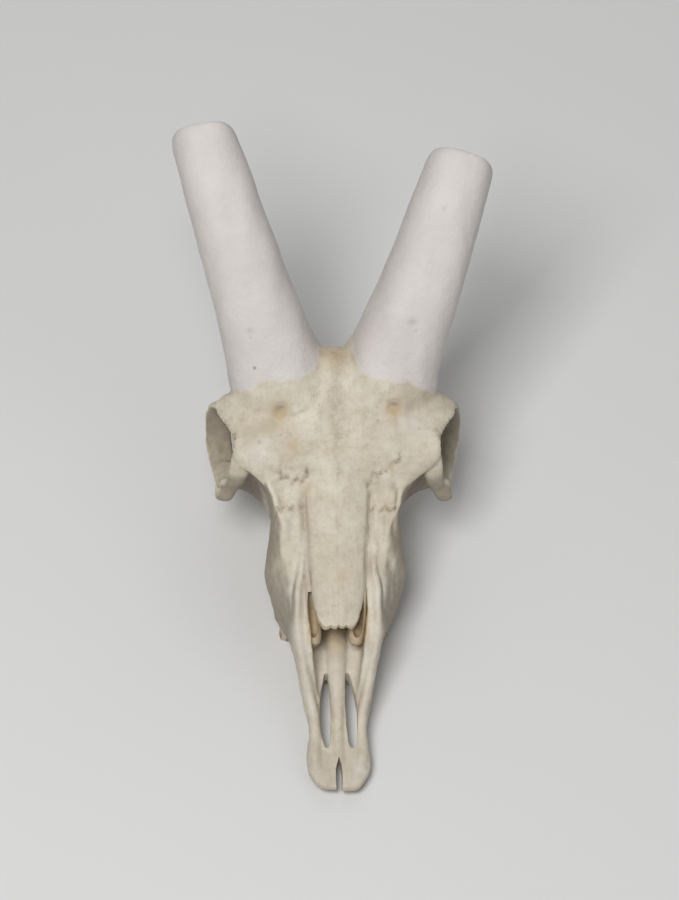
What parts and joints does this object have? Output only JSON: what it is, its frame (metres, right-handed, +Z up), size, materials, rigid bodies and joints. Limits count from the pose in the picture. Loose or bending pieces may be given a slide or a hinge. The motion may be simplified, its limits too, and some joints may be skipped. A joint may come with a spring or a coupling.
{
  "type": "ibex skull",
  "caption": "Bare ibex skull without its lower jaw, its two thick horn cores sawn short; lies on its cheek teeth and rear processes",
  "frame": {"origin": "the point of the floor under the middle of the whole skull's bounding box", "axes": "+Z up from the floor that the skull lies on; -Y the way the snout points; +X the animal's left"},
  "size_m": [0.1814, 0.3226, 0.2187],
  "materials": {
    "bone": "dry matte cream bone",
    "core": "matte chalky white horn core"
  },
  "bodies": {
    "root": {"braincase": "bone", "frontal": "bone", "horn_core_left": "core", "horn_core_right": "core", "maxilla_left": "bone", "maxilla_right": "bone", "nasal_left": "bone", "nasal_right": "bone", "premaxilla_left": "bone", "premaxilla_right": "bone", "vomer": "bone", "zygomatic_left": "bone", "zygomatic_right": "bone"}
  },
  "joints": []
}
